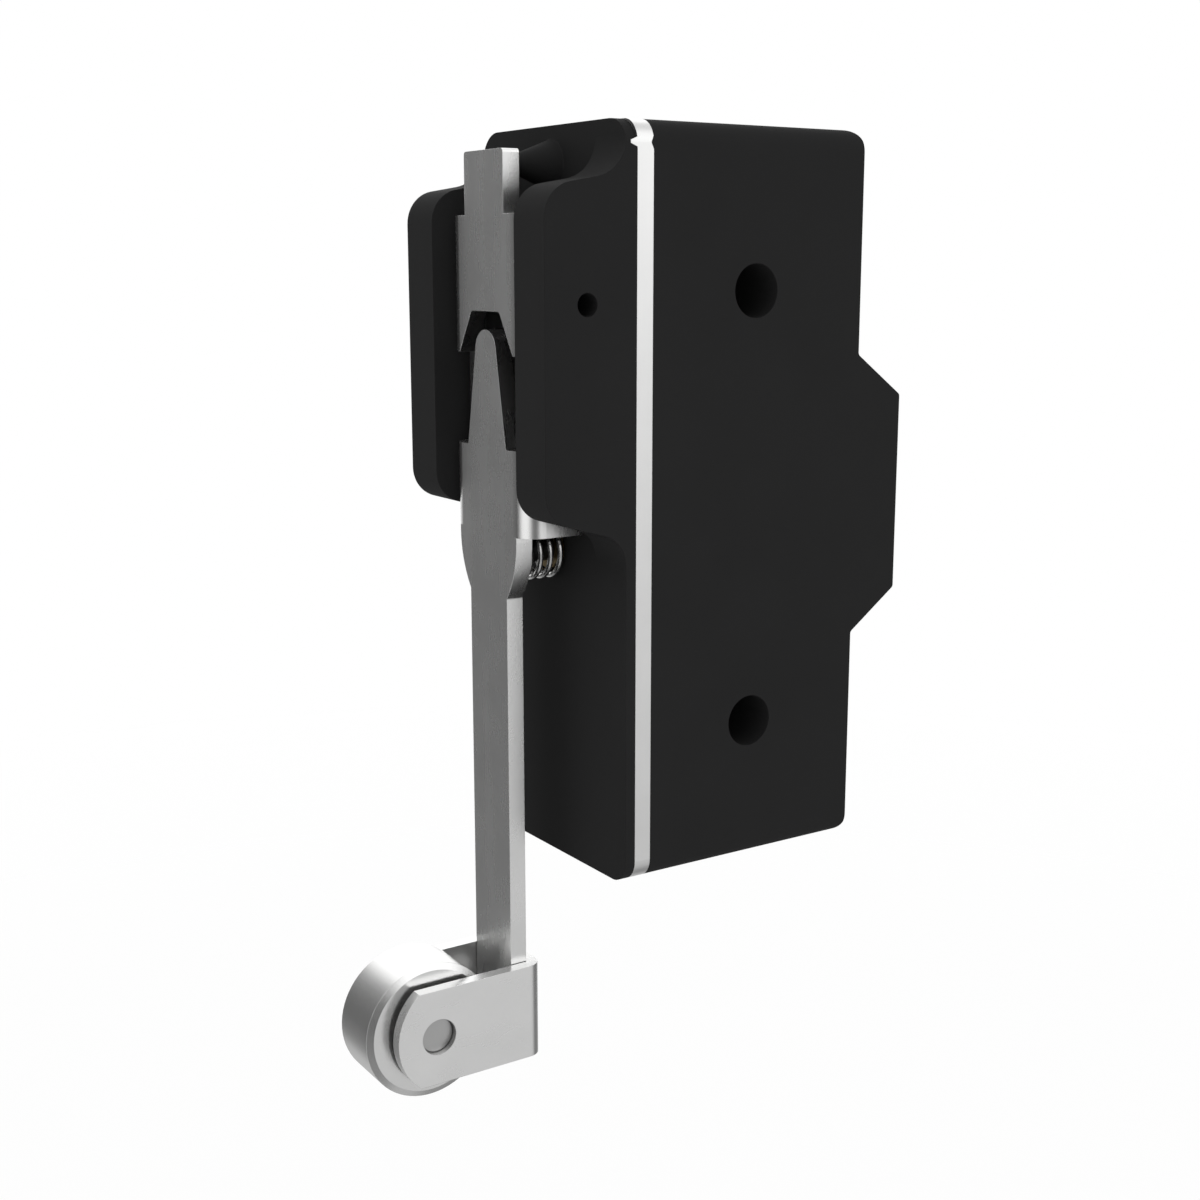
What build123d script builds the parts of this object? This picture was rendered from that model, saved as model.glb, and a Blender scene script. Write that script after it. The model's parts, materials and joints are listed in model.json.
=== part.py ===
from build123d import *
import math
import os

# Large basic snap-action switch with a hinged roller lever. Millimetres.
# Z runs up along the body, X from the lever side to the terminal side, Y across the width.
# The origin is midway between the two mounting holes, in the middle of the body's width.

os.makedirs("parts", exist_ok=True)

# Body outline
body_length = 49.2
body_width = 17.8
corner_radius = 1.5
hole_diameter = 3.5
hole_to_top = 10.5
hole_to_bottom = 9.8
hole_to_front = 8.2

# Case
case_depth = 17.2
rear_radius = 0.9
land_height = 3.9
land_length = 13.7
land_root_length = 19.4
land_shift = 0.37
land_edge_radius = 0.3
cavity_depth = 12.2
cavity_side_wall = 4.3
cavity_end_wall = 2.0
cavity_radius = 1.0
hole_boss_wall = 1.5

# Cover plate and its locating nibs
plate_thickness = 1.22
nib_height = 0.5
nib_base = 0.6
nib_tip = 0.2
nib_depth = 1.5
nib_to_top = 1.48
rib_height = 0.17
rib_base = 0.8
rib_tip = 0.1
seat_gap = 0.05

# Head with two ears and a stop boss
base_thickness = 0.76
head_top_radius = 2.0
ear_reach = 5.97
ear_thickness = 3.55
ear_top_drop = 4.27
ear_top_rise = 1.06
ear_bottom_drop = 24.39
ear_bottom_fall = 1.66
ear_top_radius = 2.25
ear_bottom_radius = 2.2
ear_top_root_radius = 2.6
ear_bottom_root_radius = 2.2
boss_drop = 2.5
boss_root_radius = 1.65
boss_tip_radius = 0.2
boss_root_fillet = 0.12
boss_tip_fillet = 0.08
slot_gap = 0.3
slot_length = 8.2

# Lever, one folded sheet
lever_sheet = 1.2
lever_side_gap = 0.45
bend_radius = 0.35
lever_ahead = 2.15
pivot_drop = 11.24
pivot_reach = 2.9
flange_behind = 2.28
flange_up = 5.56
flange_down = 14.9
flange_top_radius = 2.0
flange_bottom_radius = 0.3
tab_width = 5.0
tab_up = 9.55
tab_corner_radius = 0.25
window_top_down = 0.54
window_top_width = 3.64
window_bottom_width = 6.96
window_corner_radius = 0.4
notch_top_down = 3.29
notch_bottom_down = 9.31
tongue_root_width = 4.96
tongue_tip_radius = 1.34
tongue_tip_down = 1.72
web_overhang = 0.37
waist_start_down = 17.3
waist_end_down = 19.1
waist_radius = 6.4
waist_fillet = 0.25
waist_fillet_share = 0.98
arm_width = 4.84
stop_gap = 0.02

# Lever pin
pin_diameter = 1.45
pin_recess = 2.3
running_gap = 0.05

# Roller, its bracket, pin and rivet
roller_diameter = 9.4
roller_width = 4.24
roller_chamfer = 0.45
roller_chamfer_depth = 0.22
roller_down = 48.06
roller_ahead = 6.07
roller_pin_diameter = 2.46
roller_pin_recess = 0.45
bracket_sheet = 0.83
bracket_bend_radius = 1.05
bracket_height = 6.66
bracket_nose = 3.02
bracket_nose_radius = 4.25
bracket_side_gap = 0.07
arm_end_gap = 0.25
rivet_diameter = 1.8
rivet_head_diameter = 3.0
rivet_head_height = 0.55
rivet_head_fillet = 0.44

# Lever spring
spring_wire = 0.4
spring_mean_radius = 1.9
spring_turns = 4.44

# Plunger with a built-in overtravel spring, and its bushing
plunger_down = 16.4
lever_swing = 5.0
button_travel = 0.45
rod_diameter = 1.8
rod_tip_radius = 0.5
collar_height = 0.45
collar_radius = 1.45
bushing_radius = 2.6
bushing_lip = 0.5
bushing_wall = 0.45
bushing_inset = 1.2
cup_radius = 1.9
cup_bottom = 0.45
cup_bore_radius = 1.4
cup_lip = 0.2
cup_lip_radius = 0.9
cup_rest_gap = 0.1
mouth_margin = 0.2
button_flange = 0.35
button_flange_radius = 1.3
button_stem_radius = 0.7
inner_wire = 0.22
inner_spring_radius = 0.95
inner_spring_turns = 5

# Snap blade and contacts
blade_to_plate = 3.65
blade_sheet = 0.25
blade_root_width = 5.2
blade_tip_width = 3.2
blade_tip_length = 1.3
blade_window_width = 2.8
blade_window_start = 3.0
blade_window_end = 12.0
blade_window_radius = 0.4
blade_corner = 1.0
contact_radius = 0.9
contact_height = 0.5
contact_shank_radius = 0.45
contact_gap = 0.02
open_margin = 0.05
anchor_depth = 2.1
anchor_height = 2.6
anchor_width = 6.0
anchor_shank_radius = 0.8
groove_depth = 0.6
knife_depth = 0.35
snap_sheet = 0.2
snap_width = 2.0
snap_bow = 1.6
snap_end_gap = 0.1
snap_foot_ahead = 0.6

# Terminals, their screws and cup washers
terminal_sheet = 0.8
terminal_width = 8.0
terminal_length = 7.5
terminal_corner = 0.8
leg_width = 4.0
leg_below_land = 0.3
leg_gap = 0.05
contact_below_leg = 1.5
screw_to_leg = 3.6
screw_shank_radius = 1.6
screw_shank_length = 5.6
screw_head_radius = 3.1
screw_head_height = 1.7
screw_head_fillet = 0.7
screw_tip_fillet = 0.3
slot_width = 0.7
slot_depth = 0.8
washer_radius = 3.4
washer_sheet = 0.4
washer_dish = 0.45
washer_crown = 1.0
washer_rim = 0.6

# Assembly screws
small_shank_radius = 1.0
small_head_radius = 1.7
small_head_height = 1.2
small_head_fillet = 0.4
small_slot_width = 0.5
small_slot_depth = 0.5
small_recess = 1.5
small_side_inset = 2.2
small_hole_gap = 0.1
thread_gap = 0.02
upper_screw_above_hole = 4.15
lower_screw_above_ear = 3.0
plate_screw_to_bottom = 3.5
ear_thread = 2.8

# How far a cut runs past the face it opens
overcut = 1.0

# Places worked out from the sizes
side = body_width / 2
hole_radius = hole_diameter / 2
hole_pitch = body_length - hole_to_top - hole_to_bottom
hole_z = hole_pitch / 2
top = hole_z + hole_to_top
bottom = top - body_length
case_front = -hole_to_front
case_rear = case_front + case_depth
land_rear = case_rear + land_height
cavity_rear = case_front + cavity_depth
cavity_side = side - cavity_side_wall
land_top = land_shift + land_length / 2
land_root_top = land_shift + land_root_length / 2
land_root_bottom = land_shift - land_root_length / 2
plate_front = case_front - plate_thickness
face = plate_front - base_thickness
ear_front = face - ear_reach
slot_side = side - ear_thickness
ear_top = top - ear_top_drop
ear_bottom = top - ear_bottom_drop
nib_z = top - nib_to_top

pivot_x = face - pivot_reach
pivot_z = top - pivot_drop
web_front = pivot_x - lever_ahead
web_back = web_front + lever_sheet
flange_rear = pivot_x + flange_behind
flange_top = pivot_z + flange_up
flange_bottom = pivot_z - flange_down
channel_side = slot_side - lever_side_gap
bend_outer = bend_radius + lever_sheet
web_side = channel_side - bend_outer + web_overhang
arm_side = arm_width / 2
pin_radius = pin_diameter / 2

roller_x = web_front - roller_ahead
roller_z = pivot_z - roller_down
roller_pin_radius = roller_pin_diameter / 2
bracket_inner = arm_side + bracket_side_gap
bracket_outer = bracket_inner + bracket_sheet
bracket_rear = web_back + bracket_sheet
bracket_low = roller_z - bracket_height / 2
bracket_high = roller_z + bracket_height / 2

plunger_z = pivot_z - plunger_down
plunger_travel = plunger_down * math.radians(lever_swing)
rod_radius = rod_diameter / 2
shoulder = face + bushing_lip
bushing_front = face - collar_height
bushing_rear = case_front + bushing_inset
blade_front = case_front + blade_to_plate
blade_rear = blade_front + blade_sheet
button_tip = blade_front - running_gap
plunger_tip = web_back + running_gap
cup_front = shoulder + bushing_wall + cup_rest_gap
cup_rear = button_tip + button_travel - plunger_travel - mouth_margin
cup_floor = cup_front + cup_bottom
lip_front = cup_rear - cup_lip
flange_back = lip_front - running_gap
flange_face = flange_back - button_flange

common_screw_z = (bottom + land_root_bottom) / 2
closed_screw_z = (top + land_root_top) / 2
common_leg = common_screw_z - screw_to_leg
closed_leg = closed_screw_z + screw_to_leg
open_leg = land_top - leg_below_land
contact_z = open_leg - contact_below_leg
anchor_top = common_leg + anchor_height
knife_z = anchor_top - knife_depth
blade_tip_z = contact_z + blade_tip_length
contact_throw = button_travel * (contact_z - knife_z) / (plunger_z - knife_z)
closed_face = blade_front - contact_height - contact_gap
strip_rear = closed_face - contact_height
strip_front = strip_rear - terminal_sheet
open_face = blade_rear + contact_height + contact_throw + open_margin
pad_front = open_face + contact_height
anchor_rear = blade_rear + anchor_depth / 2
anchor_front = anchor_rear - anchor_depth

small_y = side - small_side_inset
upper_screw_z = hole_z + upper_screw_above_hole
lower_screw_z = ear_bottom + lower_screw_above_ear
plate_screw_z = bottom + plate_screw_to_bottom


FROM_END = (Align.CENTER, Align.CENTER, Align.MIN)


def block(x0, x1, y0, y1, z0, z1):
    """Box between two corners."""
    size = Box(x1 - x0, y1 - y0, z1 - z0)
    return Pos((x0 + x1) / 2, (y0 + y1) / 2, (z0 + z1) / 2) * size


def outline(points, radii):
    """Closed face with a radius of its own at each corner."""
    return make_face(FilletPolyline(*points, radius=radii, close=True))


def sharp(points):
    """Closed face with plain corners."""
    return make_face(Polyline(*points, close=True))


def across(face_xz, y0, y1):
    """Face drawn in X and Z, drawn out along Y from y0 to y1."""
    return Pos(0, y1, 0) * extrude(Plane.XZ * face_xz, amount=y1 - y0)


def deep(face_yz, x0, x1):
    """Face drawn in Y and Z, drawn out along X from x0 to x1."""
    return Pos(x0, 0, 0) * extrude(Plane.YZ * face_yz, amount=x1 - x0)


def upright(face_xy, z0, z1):
    """Face drawn in X and Y, drawn out along Z from z0 to z1."""
    return Pos(0, 0, z0) * extrude(face_xy, amount=z1 - z0)


def rod_x(radius, x0, x1, y, z):
    """Round bar along X."""
    bar = Rot(0, 90, 0) * Cylinder(radius, x1 - x0, align=FROM_END)
    return Pos(x0, y, z) * bar


def rod_y(radius, y0, y1, x, z):
    """Round bar along Y."""
    bar = Rot(-90, 0, 0) * Cylinder(radius, y1 - y0, align=FROM_END)
    return Pos(x, y0, z) * bar


def turned(profile, y, z):
    """Profile of X and radius, turned about a line along X."""
    return Pos(0, y, z) * revolve(profile, axis=Axis.X, revolution_arc=360)


def body_face(top_radius=corner_radius):
    """Outline of the body seen along X, with a radius of its own for the two top corners."""
    corners = [(-side, bottom), (side, bottom), (side, top), (-side, top)]
    return outline(corners, [corner_radius, corner_radius, top_radius, top_radius])


def coil(wire, radius, turns, x0, x1, z):
    """Round wire wound about a line along X, between two faces."""
    length = x1 - x0 - wire
    start = (x0 + wire / 2, 0, z)
    path = Helix(pitch=length / turns, height=length, radius=radius, center=start, direction=(1, 0, 0))
    profile = Plane(origin=path @ 0, z_dir=path % 0) * Circle(wire / 2)
    return sweep(profile, path=path, is_frenet=True)


def ridges(base, tip, height, x):
    """Pair of tapered ridges on the plane x, one at each side face, pointing to -X."""
    vee = sharp(
        [
            (x, nib_z - base / 2),
            (x - height, nib_z - tip / 2),
            (x - height, nib_z + tip / 2),
            (x, nib_z + base / 2),
        ]
    )
    near = across(vee, -side, nib_depth - side)
    far = across(vee, side - nib_depth, side)
    return near + far


def side_pair(y):
    """The two signs of y, near side first."""
    return (-y, y)


def make_case():
    profile = outline(
        [
            (case_front, top),
            (case_rear, top),
            (case_rear, land_root_top),
            (land_rear, land_top),
            (land_rear, land_shift - land_length / 2),
            (case_rear, land_root_bottom),
            (case_rear, bottom),
            (case_front, bottom),
        ],
        [0, rear_radius] + [land_edge_radius] * 4 + [rear_radius, 0],
    )
    shell = across(profile, -side, side) & deep(body_face(), case_front, land_rear)
    middle = (top + bottom) / 2
    opening = RectangleRounded(
        2 * cavity_side, body_length - 2 * cavity_end_wall, cavity_radius
    )
    shell -= deep(Pos(0, middle) * opening, case_front, cavity_rear)
    for z in (-hole_z, hole_z):
        boss = hole_radius + hole_boss_wall
        shell += rod_y(boss, -cavity_side, cavity_side, 0, z)
        shell += block(0, cavity_rear, -cavity_side, cavity_side, z - boss, z + boss)
    for z in (-hole_z, hole_z):
        shell -= rod_y(hole_radius, -side, side, 0, z)
    shell += ridges(rib_base, rib_tip, rib_height, case_front) & deep(body_face(), plate_front, case_front)
    wide = leg_width / 2 + leg_gap
    for low, high in leg_spans():
        shell -= block(cavity_rear - overcut, land_rear + overcut, -wide, wide, low - leg_gap, high + leg_gap)
    for seat, z in terminal_seats():
        shell -= rod_x(screw_shank_radius + running_gap, seat - screw_shank_length, seat, 0, z)
    shank = small_shank_radius + small_hole_gap
    recess = small_head_radius + small_hole_gap
    for y in side_pair(small_y):
        for z in (upper_screw_z, lower_screw_z, plate_screw_z):
            shell -= rod_x(shank, case_front, case_rear, y, z)
            shell -= rod_x(recess, case_rear - small_recess, land_rear + overcut, y, z)
    return shell


def leg_spans():
    """Low and high Z of the three terminal legs."""
    return (
        (common_leg, common_leg + terminal_sheet),
        (open_leg - terminal_sheet, open_leg),
        (closed_leg - terminal_sheet, closed_leg),
    )


def terminal_seats():
    """Seat plane and screw height of the common, open and closed terminals."""
    return (
        (case_rear, common_screw_z),
        (land_rear, land_shift),
        (case_rear, closed_screw_z),
    )


def make_cover_plate():
    plate = deep(body_face(), plate_front, case_front)
    plate += ridges(nib_base, nib_tip, nib_height, plate_front) & deep(body_face(), face, plate_front)
    plate -= ridges(rib_base, rib_tip, rib_height, case_front)
    plate -= rod_x(bushing_radius + seat_gap, plate_front, case_front, 0, plunger_z)
    for y in side_pair(small_y):
        for z in (upper_screw_z, lower_screw_z):
            plate -= rod_x(small_shank_radius + small_hole_gap, plate_front, case_front, y, z)
        plate -= rod_x(small_shank_radius + thread_gap, plate_front, case_front, y, plate_screw_z)
    return plate


def ear_face():
    """Side view of one ear with the strip of the base that carries it."""
    upper = ear_top + ear_top_rise
    lower = ear_bottom - ear_bottom_fall
    strip_bottom = lower - 2 * ear_bottom_root_radius
    return outline(
        [
            (plate_front, strip_bottom),
            (plate_front, top),
            (face, top),
            (face, upper),
            (ear_front, ear_top),
            (ear_front, ear_bottom),
            (face, lower),
            (face, strip_bottom),
        ],
        [0, 0, 0, ear_top_root_radius, ear_top_radius, ear_bottom_radius, ear_bottom_root_radius, 0],
    )


def make_head():
    front = body_face(head_top_radius)
    head = deep(front, face, plate_front)
    ears = across(ear_face(), -side, -slot_side) + across(ear_face(), slot_side, side)
    head += ears & deep(front, ear_front, plate_front)
    boss_z = top - boss_drop
    tip = web_back + stop_gap
    boss = outline(
        [
            (plate_front, 0),
            (tip, 0),
            (tip, boss_tip_radius),
            (face, boss_root_radius),
            (face, boss_root_radius + 2 * boss_root_fillet),
            (plate_front, boss_root_radius + 2 * boss_root_fillet),
        ],
        [0, 0, boss_tip_fillet, boss_root_fillet, 0, 0],
    )
    head += turned(boss, 0, boss_z)
    head -= rod_x(collar_radius + seat_gap, face, plate_front, 0, plunger_z)
    head -= rod_x(bushing_radius + seat_gap, shoulder, plate_front, 0, plunger_z)
    inner = channel_side - lever_sheet - slot_gap
    outer = min(channel_side + slot_gap, slot_side)
    for near, far in ((-outer, -inner), (inner, outer)):
        head -= block(face, plate_front, near, far, flange_bottom, flange_bottom + slot_length)
    head -= rod_y(pin_radius, -side, side, pivot_x, pivot_z)
    head -= ridges(nib_base, nib_tip, nib_height, plate_front)
    for y in side_pair(small_y):
        for z in (upper_screw_z, lower_screw_z):
            head -= rod_x(small_shank_radius + thread_gap, face - ear_thread, plate_front, y, z)
    return head


def web_face():
    """Front view of the lever's sheet, without its flanges."""
    flat = channel_side - bend_outer
    waist_start = pivot_z - waist_start_down
    waist_end = pivot_z - waist_end_down
    slant = math.hypot(web_side - arm_side, waist_start - waist_end)
    half_turn = math.atan2(web_side - arm_side, waist_start - waist_end) / 2
    straight = min(flange_bottom - waist_start, slant - waist_fillet * math.tan(half_turn))
    shoulder = min(waist_radius, waist_fillet_share * straight / math.tan(half_turn))
    end = bracket_low + arm_end_gap
    right = [
        (tab_width / 2, pivot_z + tab_up, tab_corner_radius),
        (tab_width / 2, flange_top, 0),
        (flat, flange_top, 0),
        (flat, flange_bottom, 0),
        (web_side, flange_bottom, 0),
        (web_side, waist_start, shoulder),
        (arm_side, waist_end, waist_fillet),
        (arm_side, end, 0),
    ]
    left = [(-y, z, r) for y, z, r in reversed(right)]
    every = right + left
    return outline([(y, z) for y, z, r in every], [r for y, z, r in every])


def window_face():
    """Window of the lever with the notch below it, around the tongue."""
    window_top = pivot_z - window_top_down
    notch_top = pivot_z - notch_top_down
    notch_bottom = pivot_z - notch_bottom_down
    wide = channel_side + overcut
    opening = outline(
        [
            (-window_top_width / 2, window_top),
            (window_top_width / 2, window_top),
            (window_bottom_width / 2, notch_top),
            (wide, notch_top),
            (wide, notch_bottom),
            (-wide, notch_bottom),
            (-wide, notch_top),
            (-window_bottom_width / 2, notch_top),
        ],
        [window_corner_radius] * 2 + [0] * 6,
    )
    tip_centre = pivot_z - tongue_tip_down - tongue_tip_radius
    tongue = sharp(
        [
            (-tongue_root_width / 2, notch_bottom),
            (-tongue_tip_radius, tip_centre),
            (tongue_tip_radius, tip_centre),
            (tongue_root_width / 2, notch_bottom),
        ]
    )
    tongue += Pos(0, tip_centre) * Circle(tongue_tip_radius)
    return opening - tongue


def make_lever():
    sheet = deep(web_face(), web_front, web_back)
    channel = outline(
        [
            (flange_rear, -channel_side),
            (web_front, -channel_side),
            (web_front, channel_side),
            (flange_rear, channel_side),
            (flange_rear, channel_side - lever_sheet),
            (web_back, channel_side - lever_sheet),
            (web_back, lever_sheet - channel_side),
            (flange_rear, lever_sheet - channel_side),
        ],
        [0, bend_outer, bend_outer, 0, 0, bend_radius, bend_radius, 0],
    )
    side_view = outline(
        [
            (web_front, flange_bottom),
            (web_front, flange_top),
            (flange_rear, flange_top),
            (flange_rear, flange_bottom),
        ],
        [0, 0, flange_top_radius, flange_bottom_radius],
    )
    folded = upright(channel, flange_bottom, flange_top)
    folded &= across(side_view, -channel_side, channel_side)
    lever = sheet + folded
    lever -= deep(window_face(), web_front - overcut, web_front + bend_outer)
    lever -= rod_y(pin_radius + running_gap, -channel_side, channel_side, pivot_x, pivot_z)
    lever -= rod_x(rivet_diameter / 2, web_front, web_back, 0, roller_z)
    return lever


def make_lever_pin():
    reach = side - pin_recess
    return rod_y(pin_radius, -reach, reach, pivot_x, pivot_z)


def make_lever_spring():
    return coil(spring_wire, spring_mean_radius, spring_turns, web_back, face, plunger_z)


def make_roller_bracket():
    front = roller_x - bracket_nose
    folded = outline(
        [
            (front, -bracket_outer),
            (bracket_rear, -bracket_outer),
            (bracket_rear, bracket_outer),
            (front, bracket_outer),
            (front, bracket_inner),
            (web_back, bracket_inner),
            (web_back, -bracket_inner),
            (front, -bracket_inner),
        ],
        [0, bracket_bend_radius, bracket_bend_radius, 0, 0, bracket_side_gap, bracket_side_gap, 0],
    )
    half = bracket_height / 2
    nose_centre = front + bracket_nose_radius
    corner = nose_centre - math.sqrt(bracket_nose_radius**2 - half**2)
    edges = Polyline(
        (corner, bracket_low),
        (bracket_rear, bracket_low),
        (bracket_rear, bracket_high),
        (corner, bracket_high),
    )
    nose = ThreePointArc((corner, bracket_high), (front, roller_z), (corner, bracket_low))
    side_view = make_face(edges + nose)
    bracket = upright(folded, bracket_low, bracket_high)
    bracket &= across(side_view, -bracket_outer, bracket_outer)
    bracket -= rod_y(roller_pin_radius, -bracket_outer, bracket_outer, roller_x, roller_z)
    bracket -= rod_x(rivet_diameter / 2, web_back, bracket_rear, 0, roller_z)
    return bracket


def make_bracket_rivet():
    shank = rivet_diameter / 2
    head = rivet_head_diameter / 2
    low = web_front - rivet_head_height
    high = bracket_rear + rivet_head_height
    profile = outline(
        [(low, 0), (low, head), (web_front, head), (web_front, shank)]
        + [(bracket_rear, shank), (bracket_rear, head), (high, head), (high, 0)],
        [0, rivet_head_fillet, 0, 0, 0, 0, rivet_head_fillet, 0],
    )
    return turned(profile, 0, roller_z)


def make_roller():
    half = roller_width / 2
    rim = roller_diameter / 2
    bore = roller_pin_radius + running_gap
    profile = sharp(
        [
            (bore, -half),
            (rim - roller_chamfer, -half),
            (rim, -half + roller_chamfer_depth),
            (rim, half - roller_chamfer_depth),
            (rim - roller_chamfer, half),
            (bore, half),
        ]
    )
    return Pos(roller_x, 0, roller_z) * revolve(profile, axis=Axis.Y, revolution_arc=360)


def make_roller_pin():
    reach = bracket_outer - roller_pin_recess
    return rod_y(roller_pin_radius, -reach, reach, roller_x, roller_z)


def make_plunger_bushing():
    bore = rod_radius + running_gap
    wide = cup_radius + running_gap
    floor = shoulder + bushing_wall
    profile = sharp(
        [
            (bushing_front, bore),
            (bushing_front, collar_radius),
            (shoulder, collar_radius),
            (shoulder, bushing_radius),
            (bushing_rear, bushing_radius),
            (bushing_rear, wide),
            (floor, wide),
            (floor, bore),
        ]
    )
    return turned(profile, 0, plunger_z)


def make_plunger():
    cup = sharp(
        [
            (cup_front, 0),
            (cup_front, cup_radius),
            (cup_rear, cup_radius),
            (cup_rear, cup_lip_radius),
            (lip_front, cup_lip_radius),
            (lip_front, cup_bore_radius),
            (cup_floor, cup_bore_radius),
            (cup_floor, 0),
        ]
    )
    rod = outline(
        [(plunger_tip, 0), (plunger_tip, rod_radius), (cup_floor, rod_radius), (cup_floor, 0)],
        [0, rod_tip_radius, 0, 0],
    )
    return turned(cup, 0, plunger_z) + turned(rod, 0, plunger_z)


def make_overtravel_spring():
    return coil(inner_wire, inner_spring_radius, inner_spring_turns, cup_floor, flange_face, plunger_z)


def make_plunger_button():
    profile = outline(
        [
            (flange_face, 0),
            (flange_face, button_flange_radius),
            (flange_back, button_flange_radius),
            (flange_back, button_stem_radius),
            (button_tip, button_stem_radius),
            (button_tip, 0),
        ],
        [0, 0, 0, 0, rod_tip_radius, 0],
    )
    return turned(profile, 0, plunger_z)


def make_snap_blade():
    root = blade_root_width / 2
    tip = blade_tip_width / 2
    window_low = knife_z + blade_window_start
    window_high = knife_z + blade_window_end
    blade = outline(
        [
            (-root, knife_z),
            (root, knife_z),
            (root, window_high),
            (tip, blade_tip_z),
            (-tip, blade_tip_z),
            (-root, window_high),
        ],
        [0, 0] + [blade_corner] * 4,
    )
    middle = (window_low + window_high) / 2
    window_length = window_high - window_low
    blade -= Pos(0, middle) * RectangleRounded(blade_window_width, window_length, blade_window_radius)
    knife = blade_sheet / 2
    plate = deep(blade, blade_front, blade_rear) + rod_y(knife, -root, root, blade_front + knife, knife_z)
    return plate - rod_x(contact_shank_radius, blade_front, blade_rear, 0, contact_z)


def contact_button(face_x, seat_x, through):
    """Contact with its face at face_x, its head seated at seat_x and its shank through a sheet."""
    away = 1 if seat_x > face_x else -1
    end = seat_x + away * through
    head = rod_x(contact_radius, min(face_x, seat_x), max(face_x, seat_x), 0, contact_z)
    return head + rod_x(contact_shank_radius, min(seat_x, end), max(seat_x, end), 0, contact_z)


def make_moving_contact():
    front = contact_button(blade_front - contact_height, blade_front, blade_sheet)
    return front + rod_x(contact_radius, blade_rear, blade_rear + contact_height, 0, contact_z)


def make_snap_spring():
    foot = Vector(blade_front - snap_foot_ahead, anchor_top + snap_end_gap)
    end = Vector((blade_front + blade_rear) / 2, knife_z + blade_window_end - snap_end_gap)
    bow = (foot + end) / 2 - Vector(snap_bow, 0)
    half = Vector(snap_sheet / 2, 0)
    outer = ThreePointArc(foot - half, bow - half, end - half)
    inner = ThreePointArc(end + half, bow + half, foot + half)
    strip = make_face(outer + Line(outer @ 1, inner @ 0) + inner + Line(inner @ 1, outer @ 0))
    return across(strip, -snap_width / 2, snap_width / 2)


def make_blade_anchor():
    half = anchor_width / 2
    middle = (blade_front + blade_rear) / 2
    post = block(anchor_front, anchor_rear, -half, half, common_leg, anchor_top)
    groove = sharp(
        [
            (middle - groove_depth, anchor_top),
            (middle, anchor_top - groove_depth),
            (middle + groove_depth, anchor_top),
        ]
    )
    post -= across(groove, -half, half)
    pad_middle = (common_leg + anchor_top) / 2
    return post + rod_x(anchor_shank_radius, anchor_rear, anchor_rear + terminal_sheet, 0, pad_middle)


def terminal_plate(seat, low, high, screw_z):
    """Flat part of a terminal on a rear land, with its screw hole."""
    wide = RectangleRounded(terminal_width, high - low, terminal_corner)
    plate = deep(Pos(0, (low + high) / 2) * wide, seat, seat + terminal_sheet)
    return plate - rod_x(screw_shank_radius + running_gap, seat, seat + terminal_sheet, 0, screw_z)


def make_common_terminal():
    seat, screw_z = terminal_seats()[0]
    half = leg_width / 2
    piece = terminal_plate(seat, common_leg, common_leg + terminal_length, screw_z)
    piece += block(anchor_rear, seat + terminal_sheet, -half, half, common_leg, common_leg + terminal_sheet)
    piece += block(anchor_rear, anchor_rear + terminal_sheet, -half, half, common_leg, anchor_top)
    pad_middle = (common_leg + anchor_top) / 2
    return piece - rod_x(anchor_shank_radius, anchor_rear, anchor_rear + terminal_sheet, 0, pad_middle)


def make_open_terminal():
    seat, screw_z = terminal_seats()[1]
    half = leg_width / 2
    low = 2 * land_shift - open_leg
    piece = terminal_plate(seat, low, open_leg, screw_z)
    piece += block(pad_front, seat + terminal_sheet, -half, half, open_leg - terminal_sheet, open_leg)
    pad_low = contact_z - blade_tip_length
    piece += block(pad_front, pad_front + terminal_sheet, -half, half, pad_low, open_leg)
    return piece - rod_x(contact_shank_radius, pad_front, pad_front + terminal_sheet, 0, contact_z)


def make_closed_terminal():
    seat, screw_z = terminal_seats()[2]
    half = leg_width / 2
    piece = terminal_plate(seat, closed_leg - terminal_length, closed_leg, screw_z)
    piece += block(strip_front, seat + terminal_sheet, -half, half, closed_leg - terminal_sheet, closed_leg)
    strip_low = contact_z - blade_tip_length
    piece += block(strip_front, strip_rear, -half, half, strip_low, closed_leg)
    return piece - rod_x(contact_shank_radius, strip_front, strip_rear, 0, contact_z)


def slotted_screw(seat, y, z, shank, shank_length, head, head_height, fillet_radius, slot):
    """Screw along X with its head on the plane seat and its shank to -X."""
    high = seat + head_height
    low = seat - shank_length
    profile = outline(
        [(low, 0), (low, shank), (seat, shank), (seat, head), (high, head), (high, 0)],
        [0, screw_tip_fillet, 0, 0, fillet_radius, 0],
    )
    half = slot[0] / 2
    groove = block(high - slot[1], high + overcut, y - head, y + head, z - half, z + half)
    return turned(profile, y, z) - groove


def make_terminal_screws():
    lift = terminal_sheet + washer_sheet + washer_dish
    return [
        slotted_screw(
            seat + lift,
            0,
            z,
            screw_shank_radius,
            screw_shank_length + lift - running_gap,
            screw_head_radius,
            screw_head_height,
            screw_head_fillet,
            (slot_width, slot_depth),
        )
        for seat, z in terminal_seats()
    ]


def make_cup_washers():
    inner = screw_shank_radius + running_gap
    washers = []
    for seat, z in terminal_seats():
        base = seat + terminal_sheet
        profile = sharp(
            [
                (base, washer_radius),
                (base + washer_sheet, washer_radius),
                (base + washer_sheet + washer_dish, inner + washer_crown),
                (base + washer_sheet + washer_dish, inner),
                (base + washer_dish, inner),
                (base + washer_dish, inner + washer_crown),
                (base, washer_radius - washer_rim),
            ]
        )
        washers.append(turned(profile, 0, z))
    return washers


def small_screw(y, z, shank_length):
    seat = case_rear - small_recess
    return slotted_screw(
        seat,
        y,
        z,
        small_shank_radius,
        shank_length,
        small_head_radius,
        small_head_height,
        small_head_fillet,
        (small_slot_width, small_slot_depth),
    )


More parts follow.
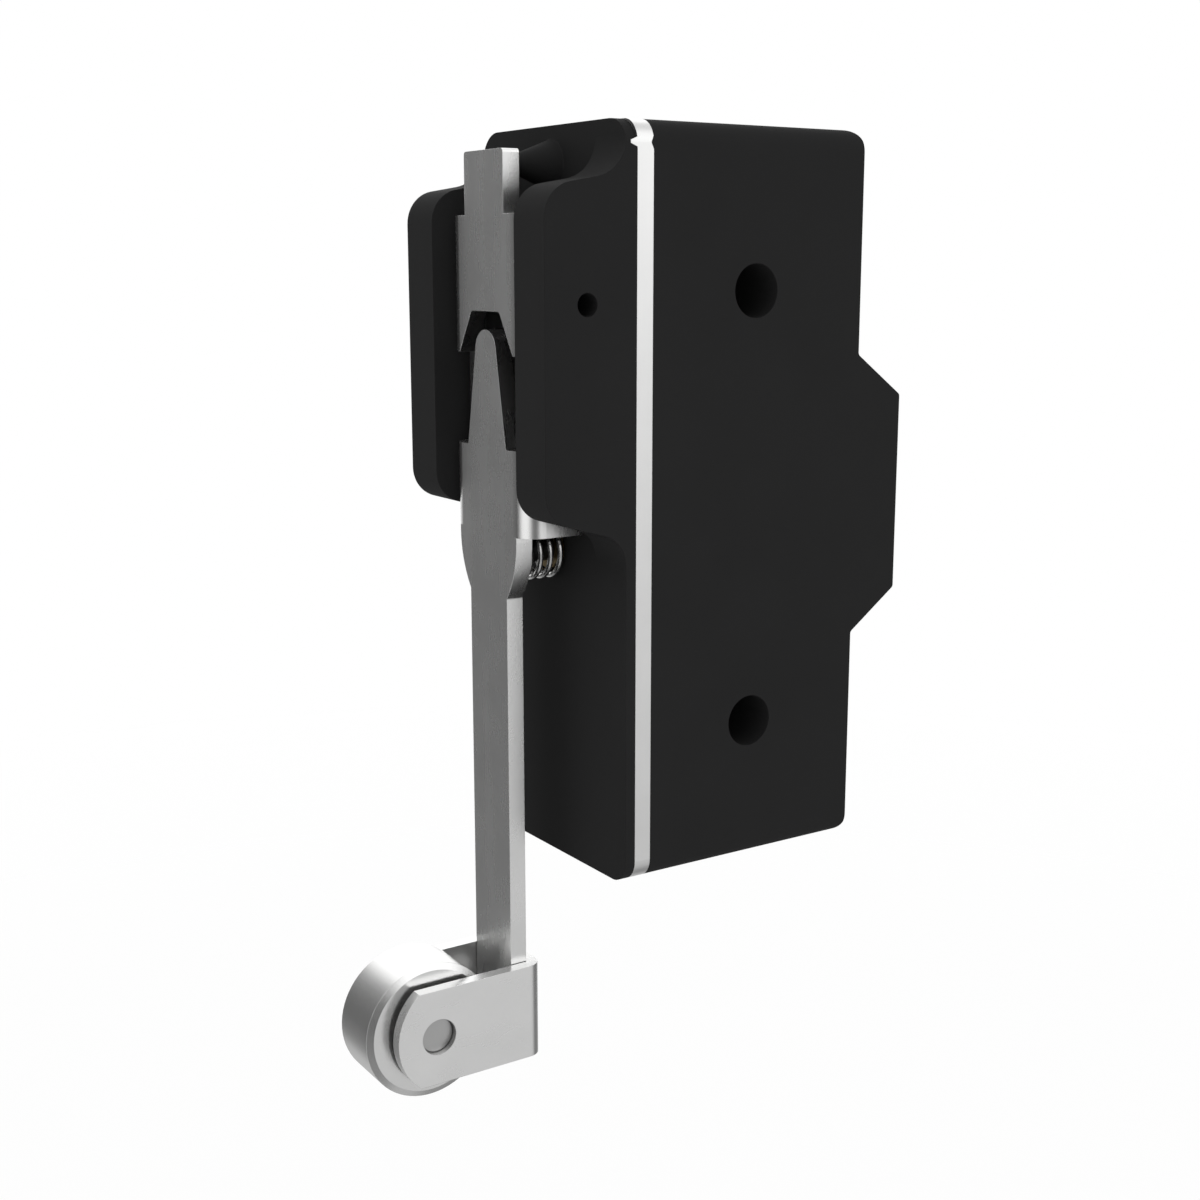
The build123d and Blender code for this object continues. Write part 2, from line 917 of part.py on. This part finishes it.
def make_head_screws():
    length = case_rear - small_recess - face + ear_thread - seat_gap
    places = [(y, z) for y in side_pair(small_y) for z in (upper_screw_z, lower_screw_z)]
    return [small_screw(y, z, length) for y, z in places]


def make_plate_screws():
    length = case_rear - small_recess - plate_front
    return [small_screw(y, plate_screw_z, length) for y in side_pair(small_y)]


def make_closed_contact():
    return contact_button(closed_face, strip_rear, terminal_sheet)


def make_open_contact():
    return contact_button(open_face, pad_front, terminal_sheet)


PIECES = {
    "case": make_case,
    "cover_plate": make_cover_plate,
    "head": make_head,
    "lever": make_lever,
    "lever_pin": make_lever_pin,
    "lever_spring": make_lever_spring,
    "roller_bracket": make_roller_bracket,
    "bracket_rivet": make_bracket_rivet,
    "roller": make_roller,
    "roller_pin": make_roller_pin,
    "plunger_bushing": make_plunger_bushing,
    "plunger": make_plunger,
    "overtravel_spring": make_overtravel_spring,
    "plunger_button": make_plunger_button,
    "snap_blade": make_snap_blade,
    "moving_contact": make_moving_contact,
    "snap_spring": make_snap_spring,
    "blade_anchor": make_blade_anchor,
    "common_terminal": make_common_terminal,
    "open_terminal": make_open_terminal,
    "open_contact": make_open_contact,
    "closed_terminal": make_closed_terminal,
    "closed_contact": make_closed_contact,
    "terminal_screws": make_terminal_screws,
    "cup_washers": make_cup_washers,
    "head_screws": make_head_screws,
    "plate_screws": make_plate_screws,
}

for name, make in PIECES.items():
    made = make()
    solids = made if isinstance(made, list) else [made]
    every_solid = [solid for piece in solids for solid in piece.solids()]
    export_step(Compound(every_solid), f"parts/{name}.step")
    print(name, len(every_solid), round(sum(solid.volume for solid in every_solid), 2))
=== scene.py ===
import json
import math

import bmesh
import bpy
from mathutils import Matrix, Vector

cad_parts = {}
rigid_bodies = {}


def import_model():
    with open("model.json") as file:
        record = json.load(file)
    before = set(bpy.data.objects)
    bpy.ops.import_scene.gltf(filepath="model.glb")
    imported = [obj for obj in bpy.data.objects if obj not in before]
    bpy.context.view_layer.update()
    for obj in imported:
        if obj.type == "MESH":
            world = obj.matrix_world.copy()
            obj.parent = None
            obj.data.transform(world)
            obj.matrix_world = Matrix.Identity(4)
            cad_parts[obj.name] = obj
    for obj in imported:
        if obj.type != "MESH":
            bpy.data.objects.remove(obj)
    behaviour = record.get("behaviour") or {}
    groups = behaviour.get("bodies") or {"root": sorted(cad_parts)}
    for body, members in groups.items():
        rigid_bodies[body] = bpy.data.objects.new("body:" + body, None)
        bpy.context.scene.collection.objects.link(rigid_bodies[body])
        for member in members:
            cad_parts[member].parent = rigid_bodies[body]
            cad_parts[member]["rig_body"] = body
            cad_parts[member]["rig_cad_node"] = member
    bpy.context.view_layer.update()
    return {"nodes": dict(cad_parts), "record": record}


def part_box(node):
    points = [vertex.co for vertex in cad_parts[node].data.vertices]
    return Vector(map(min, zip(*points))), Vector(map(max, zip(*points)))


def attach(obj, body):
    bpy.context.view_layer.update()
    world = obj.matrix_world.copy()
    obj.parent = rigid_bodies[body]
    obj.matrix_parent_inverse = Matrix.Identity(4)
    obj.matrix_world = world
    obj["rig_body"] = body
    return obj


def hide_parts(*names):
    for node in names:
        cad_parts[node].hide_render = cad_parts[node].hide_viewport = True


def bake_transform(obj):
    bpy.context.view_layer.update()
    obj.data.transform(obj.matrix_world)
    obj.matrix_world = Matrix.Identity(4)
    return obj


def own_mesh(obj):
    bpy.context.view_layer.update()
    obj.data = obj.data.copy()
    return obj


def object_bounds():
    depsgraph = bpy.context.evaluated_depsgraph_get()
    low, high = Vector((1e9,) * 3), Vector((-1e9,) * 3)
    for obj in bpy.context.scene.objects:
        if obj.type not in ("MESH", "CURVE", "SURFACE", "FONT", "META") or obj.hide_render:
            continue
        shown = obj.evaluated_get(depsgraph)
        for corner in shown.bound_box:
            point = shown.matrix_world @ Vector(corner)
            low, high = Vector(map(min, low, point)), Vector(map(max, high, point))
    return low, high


# Large basic snap-action switch with a hinged roller lever: finishes, lights and camera.
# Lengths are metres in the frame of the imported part.

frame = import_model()
nodes = frame["nodes"]
MM = 0.001

# Camera of the photograph
CAMERA_PLACE = Vector((-69.01, -95.42, 16.22)) * MM
CAMERA_AZIMUTH = math.radians(-33.30)
CAMERA_ELEVATION = math.radians(11.425)
CAMERA_ROLL = math.radians(0.013)
LENS_MM = 50.03
SENSOR_MM = 36.0
CLIP_START = 1 * MM
CLIP_END = 10.0

# Floor and light
FLOOR_DROP = 60 * MM
FLOOR_RADIUS = 0.32
FLOOR_FADE = 0.16
FLOOR_SIDES = 96
FLOOR_COLOUR = (0.95, 0.95, 0.95, 1)
FLOOR_ROUGHNESS = 0.9
FLOOR_GLOW = 0.8
WHITE = (1, 1, 1, 1)
PLAIN_LEVEL = 1.0

# What gloss reflects. A side is its azimuth and the angles within which it has all and none of its
# share, in degrees. Levels are pairs of height and level.
DIM_SIDE = (185, 72, 87)
DIM_LEVELS = ((-1, 0.3), (-0.45, 0.19), (-0.2, 0.13), (0.1, 0.14), (0.33, 0.22), (0.5, 0.36), (0.9, 1))
SHADE_SIDE = (350, 18, 45)
STRIP_SIDE = (197, 14, 36)
STRIP_LEVEL = 1.05
WINDOW_SIDE = (302, 15, 32)
WINDOW_LEVELS = ((-1, 0.5), (-0.34, 0.63), (-0.12, 0.8), (0.06, 1.28), (0.2, 1.35))
ROOM_LEVELS = ((-1, 0.5), (-0.3, 0.58), (-0.1, 1.15), (0.1, 1.35))

# Grain of the finishes. A noise is its scale, detail and roughness.
NOISE_LOW = 0.3
NOISE_HIGH = 0.7
PLASTIC_CLOUD = (180, 4, 0.5)
PLASTIC_SPECK = (6500, 2, 0.5)
PLASTIC_VARIATION = 0.04
PLASTIC_ROUGHNESS_VARIATION = 0.02
PLASTIC_BUMP = 0.12
PLASTIC_SPECK_HEIGHT = 0.02 * MM
METAL_LINES = (900, 4, 0.6)
METAL_CLOUD = (260, 5, 0.6)
METAL_SPECK = (5200, 2, 0.5)
METAL_VARIATION = 0.025
METAL_ROUGHNESS_VARIATION = 0.015
METAL_SMOOTHEST_LINE = -0.012
METAL_ROUGHEST_LINE = 0.018
METAL_BUMP = 0.3
METAL_SPECK_HEIGHT = 0.01 * MM
EVEN = (1, 1, 1)
ALONG_X = (0.06, 1, 1)
AROUND_Y = (1, 0.08, 1)
ALONG_Z = (1, 1, 0.06)

# Softened edges
METAL_EDGE = 0.035 * MM
PLASTIC_EDGE = 0.05 * MM
EDGE_SAMPLES = 6
EDGE_ANGLE = math.radians(28)

# Places painted darker as shade: the channel's inside with its cut edges, and about the roller pin's axis
# the bracket's holes and the pin's own rim
CHANNEL_LOW = Vector((-15.17, -3.75, -1.19)) * MM
CHANNEL_HIGH = Vector((-9, 3.75, 19.2)) * MM
CHANNEL_EDGE = 0.05 * MM
ROLLER_AXIS = Vector((-21.3, 0, -34.35)) * MM
PIN_HOLE_RADIUS = 1.26 * MM
PIN_HOLE_EDGE = 0.02 * MM
PIN_RIM_RADIUS = 1.16 * MM
PIN_RIM_EDGE = 0.04 * MM

# Coils
WIRE_SIDES = 10
STEPS_A_TURN = 40


def new_material(name):
    """Empty node material with its shader and output."""
    material = bpy.data.materials.new(name)
    material.use_nodes = True
    return material, material.node_tree, material.node_tree.nodes["Principled BSDF"]


def add(tree, kind, **inputs):
    """Node of a kind, with inputs set by name; a socket as value is linked."""
    node = tree.nodes.new(kind)
    for key, value in inputs.items():
        socket = node.inputs[key]
        if isinstance(value, bpy.types.NodeSocket):
            tree.links.new(value, socket)
        else:
            socket.default_value = value
    return node


def computed(tree, kind, operation, *values):
    """Result of a math node of a kind; a socket among its values is linked."""
    node = tree.nodes.new(kind)
    node.operation = operation
    for socket, value in zip(node.inputs, values):
        if isinstance(value, bpy.types.NodeSocket):
            tree.links.new(value, socket)
        else:
            socket.default_value = value
    return node.outputs["Value" if operation in ("DOT_PRODUCT", "LENGTH") else 0]


def number(tree, operation, *values):
    """Result of a math node on numbers."""
    return computed(tree, "ShaderNodeMath", operation, *values)


def vector(tree, operation, *values):
    """Result of a math node on vectors."""
    return computed(tree, "ShaderNodeVectorMath", operation, *values)


def place_on(tree):
    """The object's own coordinates."""
    return tree.nodes.new("ShaderNodeTexCoord").outputs["Object"]


def stretched_noise(tree, stretch, noise):
    """Noise on the object's own coordinates, stretched along its axes."""
    scale, detail, roughness = noise
    scaled = vector(tree, "MULTIPLY", place_on(tree), stretch)
    node = add(tree, "ShaderNodeTexNoise", Vector=scaled, Scale=scale, Detail=detail, Roughness=roughness)
    return node.outputs["Fac"]


def ranged(tree, value, low, high, from_low=NOISE_LOW, from_high=NOISE_HIGH):
    """Value carried from one range to another, held at the ends."""
    node = add(tree, "ShaderNodeMapRange", Value=value)
    node.inputs["From Min"].default_value = from_low
    node.inputs["From Max"].default_value = from_high
    node.inputs["To Min"].default_value = low
    node.inputs["To Max"].default_value = high
    return node.outputs["Result"]


def shaded(tree, value, dark, light):
    """Colour between two colours by a value."""
    ramp = tree.nodes.new("ShaderNodeMix")
    ramp.data_type = "RGBA"
    tree.links.new(value, ramp.inputs["Factor"])
    ramp.inputs["A"].default_value = (*dark, 1)
    ramp.inputs["B"].default_value = (*light, 1)
    return ramp.outputs["Result"]


def bumped(tree, height, strength, distance, edge):
    """Normal from a height field over edges rounded by the radius edge."""
    bevel = add(tree, "ShaderNodeBevel", Radius=edge)
    bevel.samples = EDGE_SAMPLES
    bump = add(tree, "ShaderNodeBump", Height=height, Strength=strength, Distance=distance,
               Normal=bevel.outputs["Normal"])
    return bump.outputs["Normal"]


def tinted(tree, cloud, colour, variation):
    """Colour that varies slowly about a colour."""
    dark = tuple(c * (1 - variation) for c in colour)
    light = tuple(min(1.0, c * (1 + variation)) for c in colour)
    return shaded(tree, ranged(tree, cloud, 0, 1), dark, light)


def patchy(tree, cloud, roughness, variation):
    """Roughness that varies slowly about a roughness."""
    return ranged(tree, cloud, roughness - variation, roughness + variation)


def moulding(name, colour, roughness, specular):
    """Moulded plastic: fine spark-eroded grain and slow changes of shade."""
    material, tree, shader = new_material(name)
    cloud = stretched_noise(tree, EVEN, PLASTIC_CLOUD)
    speck = stretched_noise(tree, EVEN, PLASTIC_SPECK)
    tint = tinted(tree, cloud, colour, PLASTIC_VARIATION)
    stained = patchy(tree, cloud, roughness, PLASTIC_ROUGHNESS_VARIATION)
    normal = bumped(tree, speck, PLASTIC_BUMP, PLASTIC_SPECK_HEIGHT, PLASTIC_EDGE)
    tree.links.new(tint, shader.inputs["Base Color"])
    tree.links.new(stained, shader.inputs["Roughness"])
    tree.links.new(normal, shader.inputs["Normal"])
    shader.inputs["Specular IOR Level"].default_value = specular
    return material


def in_box(low, high, edge):
    """Mask that is 1 inside a box of the object's coordinates and fades out over edge."""
    def mask(tree):
        offset = vector(tree, "ABSOLUTE", vector(tree, "SUBTRACT", place_on(tree), (high + low) / 2))
        past = vector(tree, "SUBTRACT", offset, (high - low) / 2)
        split = add(tree, "ShaderNodeSeparateXYZ", Vector=past)
        outside = number(tree, "MAXIMUM", split.outputs["X"], split.outputs["Y"])
        outside = number(tree, "MAXIMUM", outside, split.outputs["Z"])
        return ranged(tree, outside, 1, 0, 0, edge)

    return mask


def near_roller_axis(radius, edge, near, far):
    """Mask with one value within a radius of the roller's axis and another beyond it."""
    def mask(tree):
        offset = vector(tree, "SUBTRACT", place_on(tree), ROLLER_AXIS)
        distance = vector(tree, "LENGTH", vector(tree, "MULTIPLY", offset, (1, 0, 1)))
        return ranged(tree, distance, near, far, radius - edge, radius + edge)

    return mask


def metal(name, colour, roughness, grain, painted_shade=None, shade_share=1.0):
    """Worked metal: grain along its rolling direction, slight stains, and painted shade, a darker colour
    inside a mask.
    """
    material, tree, shader = new_material(name)
    lines = stretched_noise(tree, grain, METAL_LINES)
    cloud = stretched_noise(tree, EVEN, METAL_CLOUD)
    speck = stretched_noise(tree, EVEN, METAL_SPECK)
    tint = tinted(tree, cloud, colour, METAL_VARIATION)
    # painted shade: inside the mask the colour darkens to a share of itself
    if painted_shade:
        cover = tree.nodes.new("ShaderNodeMix")
        cover.data_type = "RGBA"
        tree.links.new(painted_shade(tree), cover.inputs["Factor"])
        tree.links.new(tint, cover.inputs["A"])
        cover.inputs["B"].default_value = (*(c * shade_share for c in colour), 1)
        tint = cover.outputs["Result"]
    rolled = ranged(tree, lines, METAL_SMOOTHEST_LINE, METAL_ROUGHEST_LINE)
    stained = patchy(tree, cloud, roughness, METAL_ROUGHNESS_VARIATION)
    normal = bumped(tree, speck, METAL_BUMP, METAL_SPECK_HEIGHT, METAL_EDGE)
    tree.links.new(tint, shader.inputs["Base Color"])
    tree.links.new(number(tree, "ADD", rolled, stained), shader.inputs["Roughness"])
    tree.links.new(normal, shader.inputs["Normal"])
    shader.inputs["Metallic"].default_value = 1.0
    return material


# Painted shade on the lever channel's inside and its cut edges, where the flanges and ears shade it
CHANNEL = in_box(CHANNEL_LOW, CHANNEL_HIGH, CHANNEL_EDGE)
# Painted shade in the bracket's bores about the roller pin
PIN_HOLE = near_roller_axis(PIN_HOLE_RADIUS, PIN_HOLE_EDGE, 1, 0)
# Painted shade as a dark ring at the roller pin's rim, where it sits set into the bore
PIN_RIM = near_roller_axis(PIN_RIM_RADIUS, PIN_RIM_EDGE, 0, 1)

# Colour, roughness and specular level
MOULDINGS = {
    "black_moulding": ((0.0165, 0.0165, 0.0167), 0.7, 0.06),
    "button_plastic": ((0.62, 0.59, 0.5), 0.5, 0.4),
}

# Colour, roughness and grain, then where shade is painted and what share of its colour is left there
METALS = {
    "plate_steel": ((0.78, 0.78, 0.775), 0.3, ALONG_Z),
    # lever: painted shade in its channel
    "lever_steel": ((0.8, 0.8, 0.795), 0.27, ALONG_Z, CHANNEL, 0.65),
    # bracket: painted shade in the roller pin's bores
    "bracket_steel": ((0.86, 0.86, 0.855), 0.28, ALONG_X, PIN_HOLE, 0.65),
    "roller_steel": ((0.82, 0.82, 0.815), 0.24, AROUND_Y),
    "pin_steel": ((0.5, 0.5, 0.497), 0.32, EVEN),
    # roller pin: painted shade at its rim
    "roller_pin_steel": ((0.5, 0.5, 0.497), 0.32, EVEN, PIN_RIM, 0.2),
    # near-black steel that paints the shade in the ear's pin hole and inside the spring's coil
    "shade_dark_steel": ((0.06, 0.06, 0.06), 0.45, EVEN),
    "spring_steel": ((0.7, 0.7, 0.695), 0.16, EVEN),
    "bushing_brass": ((0.72, 0.55, 0.3), 0.3, EVEN),
    "blade_copper": ((0.75, 0.45, 0.28), 0.3, ALONG_Z),
    "contact_silver": ((0.88, 0.87, 0.85), 0.25, EVEN),
    "terminal_brass": ((0.76, 0.6, 0.33), 0.28, ALONG_Z),
    "screw_steel": ((0.7, 0.7, 0.68), 0.27, EVEN),
}

MATERIALS = {name: moulding(name, *finish) for name, finish in MOULDINGS.items()}
MATERIALS.update({name: metal(name, *finish) for name, finish in METALS.items()})

FINISH = {
    "case": "black_moulding",
    "cover_plate": "plate_steel",
    "head": "black_moulding",
    "lever": "lever_steel",
    # lever pin: near-black, painted shade in the ear's hole
    "lever_pin": "shade_dark_steel",
    "lever_spring": "spring_steel",
    "roller_bracket": "bracket_steel",
    "bracket_rivet": "pin_steel",
    "roller": "roller_steel",
    "roller_pin": "roller_pin_steel",
    "plunger_bushing": "bushing_brass",
    # plunger: near-black, painted shade inside the coil
    "plunger": "shade_dark_steel",
    "overtravel_spring": "spring_steel",
    "plunger_button": "button_plastic",
    "snap_blade": "blade_copper",
    "moving_contact": "contact_silver",
    "snap_spring": "blade_copper",
    "blade_anchor": "terminal_brass",
    "common_terminal": "terminal_brass",
    "open_terminal": "terminal_brass",
    "open_contact": "contact_silver",
    "closed_terminal": "terminal_brass",
    "closed_contact": "contact_silver",
    "terminal_screws": "screw_steel",
    "cup_washers": "screw_steel",
    "head_screws": "screw_steel",
    "plate_screws": "screw_steel",
}


def paint(thing, material):
    """Gives a mesh one material."""
    thing.data.materials.clear()
    thing.data.materials.append(material)


for node, finish in FINISH.items():
    paint(nodes[node], MATERIALS[finish])


def body_of_node(node):
    """Body that carries a node."""
    for body, members in frame["record"]["behaviour"]["bodies"].items():
        if node in members:
            return body
    raise ValueError(node)


def tube(name, centre, wire):
    """Mesh of a round wire along a list of points, with flat ends."""
    work = bmesh.new()
    rings = []
    for i, point in enumerate(centre):
        before = centre[max(i - 1, 0)]
        after = centre[min(i + 1, len(centre) - 1)]
        along = (after - before).normalized()
        across = along.cross(Vector((1, 0, 0))).normalized()
        upward = across.cross(along)
        ring = []
        for k in range(WIRE_SIDES):
            turn = 2 * math.pi * k / WIRE_SIDES
            offset = across * math.cos(turn) + upward * math.sin(turn)
            ring.append(work.verts.new(point + offset * wire / 2))
        rings.append(ring)
    for first, second in zip(rings, rings[1:]):
        for k in range(WIRE_SIDES):
            n = (k + 1) % WIRE_SIDES
            work.faces.new((first[k], second[k], second[n], first[n]))
    work.faces.new(rings[0])
    work.faces.new(list(reversed(rings[-1])))
    bmesh.ops.recalc_face_normals(work, faces=work.faces)
    mesh = bpy.data.meshes.new(name)
    work.to_mesh(mesh)
    work.free()
    mesh.shade_smooth()
    mesh.set_sharp_from_angle(angle=EDGE_ANGLE)
    piece = bpy.data.objects.new(name, mesh)
    bpy.context.scene.collection.objects.link(piece)
    return piece


def coil_points(x0, x1, z, radius, wire, turns, closed):
    """Centre line of a compression coil along X, with closed end turns; it ends on the far side."""
    count = round(turns * STEPS_A_TURN)
    active = turns - 2 * closed
    span = x1 - x0 - wire * (1 + 2 * closed)
    points = []
    for i in range(count + 1):
        t = i / STEPS_A_TURN
        low = min(t, closed)
        high = max(0.0, t - (turns - closed))
        middle = min(max(t - closed, 0.0), active)
        x = x0 + wire / 2 + (low + high) * wire + span * middle / active
        turn = 2 * math.pi * (t - turns)
        points.append(Vector((x, radius * math.cos(turn), z + radius * math.sin(turn))))
    return points


def coil(node, name, wire, turns, closed):
    """Coil in the place of a node, carried by the node's body."""
    low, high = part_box(node)
    radius = (high.z - low.z) / 2 - wire / 2
    centre_z = (high.z + low.z) / 2
    piece = tube(name, coil_points(low.x, high.x, centre_z, radius, wire, turns, closed), wire)
    paint(piece, MATERIALS[FINISH[node]])
    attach(piece, body_of_node(node))
    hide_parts(node)
    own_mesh(piece)


def leaf(node, name):
    """Fixed copy of a bowed leaf spring along Z in the node's place."""
    piece = nodes[node].copy()
    piece.data = nodes[node].data.copy()
    piece.name = name
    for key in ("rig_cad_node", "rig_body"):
        if key in piece:
            del piece[key]
    piece.parent = None
    bpy.context.scene.collection.objects.link(piece)
    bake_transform(piece)
    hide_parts(node)


coil(
    "lever_spring",
    "return_coil",
    wire=0.4 * MM,
    turns=4.45,
    closed=0,
)
coil(
    "overtravel_spring",
    "overtravel_coil",
    wire=0.22 * MM,
    turns=6.5,
    closed=0.75,
)
leaf("snap_spring", "snap_leaf")


def make_camera():
    """Camera of the photograph."""
    data = bpy.data.cameras.new("camera")
    data.lens = LENS_MM
    data.sensor_width = SENSOR_MM
    data.sensor_fit = "HORIZONTAL"
    data.clip_start = CLIP_START
    data.clip_end = CLIP_END
    camera = bpy.data.objects.new("camera", data)
    bpy.context.scene.collection.objects.link(camera)
    level = Vector((-math.sin(CAMERA_AZIMUTH), math.cos(CAMERA_AZIMUTH), 0))
    forward = level * math.cos(CAMERA_ELEVATION) - Vector((0, 0, math.sin(CAMERA_ELEVATION)))
    right = Vector((math.cos(CAMERA_AZIMUTH), math.sin(CAMERA_AZIMUTH), 0))
    up = right.cross(forward)
    axes = Matrix((right, up, -forward)).transposed() @ Matrix.Rotation(-CAMERA_ROLL, 3, "Z")
    camera.matrix_world = Matrix.Translation(CAMERA_PLACE) @ axes.to_4x4()
    bpy.context.scene.camera = camera


def facing(tree, direction, side):
    """Share of a side in what a level direction meets."""
    azimuth, full, none = (math.radians(angle) for angle in side)
    toward = vector(tree, "DOT_PRODUCT", direction, (math.cos(azimuth), math.sin(azimuth), 0))
    return ranged(tree, toward, 0, 1, math.cos(none), math.cos(full))


def by_height(tree, height, points):
    """Level by a direction's height, from -1 to 1, through pairs of height and level."""
    place = ranged(tree, height, 0, 1, -1, 1)
    ramp = add(tree, "ShaderNodeValToRGB", Fac=place)
    stops = ramp.color_ramp.elements
    while len(stops) < len(points):
        stops.new(1)
    for stop, (at, level) in zip(stops, points):
        stop.position = (at + 1) / 2
        stop.color = (level, level, level, 1)
    return ramp.outputs["Color"]


def levels(tree, share, first, second):
    """Level between two levels, which are numbers or sockets."""
    blend = tree.nodes.new("ShaderNodeMix")
    blend.data_type = "FLOAT"
    tree.links.new(share, blend.inputs["Factor"])
    for name, value in (("A", first), ("B", second)):
        if isinstance(value, bpy.types.NodeSocket):
            tree.links.new(value, blend.inputs[name])
        else:
            blend.inputs[name].default_value = value
    return blend.outputs["Result"]


def make_world():
    """Studio surround: plain light, a room with four sides for gloss, and white for the camera."""
    world = bpy.data.worlds.new("studio")
    bpy.context.scene.world = world
    world.use_nodes = True
    tree = world.node_tree
    shader = tree.nodes["Background"]
    direction = tree.nodes.new("ShaderNodeTexCoord").outputs["Generated"]
    height = add(tree, "ShaderNodeSeparateXYZ", Vector=direction).outputs["Z"]
    around = vector(tree, "NORMALIZE", vector(tree, "MULTIPLY", direction, (1, 1, 0)))
    dim = by_height(tree, height, DIM_LEVELS)
    window = by_height(tree, height, WINDOW_LEVELS)
    room = by_height(tree, height, ROOM_LEVELS)
    for side, level in (
        (DIM_SIDE, dim),
        (SHADE_SIDE, dim),
        (STRIP_SIDE, STRIP_LEVEL),
        (WINDOW_SIDE, window),
    ):
        room = levels(tree, facing(tree, around, side), room, level)
    rays = tree.nodes.new("ShaderNodeLightPath").outputs
    lit = levels(tree, rays["Is Glossy Ray"], PLAIN_LEVEL, room)
    backdrop = number(tree, "MAXIMUM", rays["Is Camera Ray"], rays["Is Transmission Ray"])
    tree.links.new(levels(tree, backdrop, lit, 1.0), shader.inputs["Strength"])
    shader.inputs["Color"].default_value = WHITE


def make_floor():
    """Round pale floor below the part with a soft shadow, which fades out towards its rim."""
    low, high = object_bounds()
    centre = (Vector(low) + Vector(high)) / 2
    work = bmesh.new()
    bmesh.ops.create_circle(work, cap_ends=True, segments=FLOOR_SIDES, radius=FLOOR_RADIUS)
    mesh = bpy.data.meshes.new("floor")
    work.to_mesh(mesh)
    work.free()
    floor = bpy.data.objects.new("floor", mesh)
    floor.location = (centre.x, centre.y, low[2] - FLOOR_DROP)
    bpy.context.scene.collection.objects.link(floor)
    material, tree, shader = new_material("floor")
    shader.inputs["Base Color"].default_value = FLOOR_COLOUR
    shader.inputs["Roughness"].default_value = FLOOR_ROUGHNESS
    shader.inputs["Specular IOR Level"].default_value = 0
    glow = add(tree, "ShaderNodeEmission", Color=WHITE, Strength=1.0)
    clear = tree.nodes.new("ShaderNodeBsdfTransparent")
    to_camera = tree.nodes.new("ShaderNodeLightPath").outputs["Is Camera Ray"]
    glowing = number(tree, "MULTIPLY", to_camera, FLOOR_GLOW)
    faded = ranged(tree, vector(tree, "LENGTH", place_on(tree)), 0, 1, FLOOR_FADE, FLOOR_RADIUS)
    surface = shader.outputs[0]
    for share, other in ((glowing, glow), (faded, clear)):
        mix = tree.nodes.new("ShaderNodeMixShader")
        tree.links.new(share, mix.inputs[0])
        tree.links.new(surface, mix.inputs[1])
        tree.links.new(other.outputs[0], mix.inputs[2])
        surface = mix.outputs[0]
    tree.links.new(surface, tree.nodes["Material Output"].inputs["Surface"])
    mesh.materials.append(material)
    floor.visible_glossy = False


make_camera()
make_world()
make_floor()

bpy.context.scene.view_settings.view_transform = "Standard"
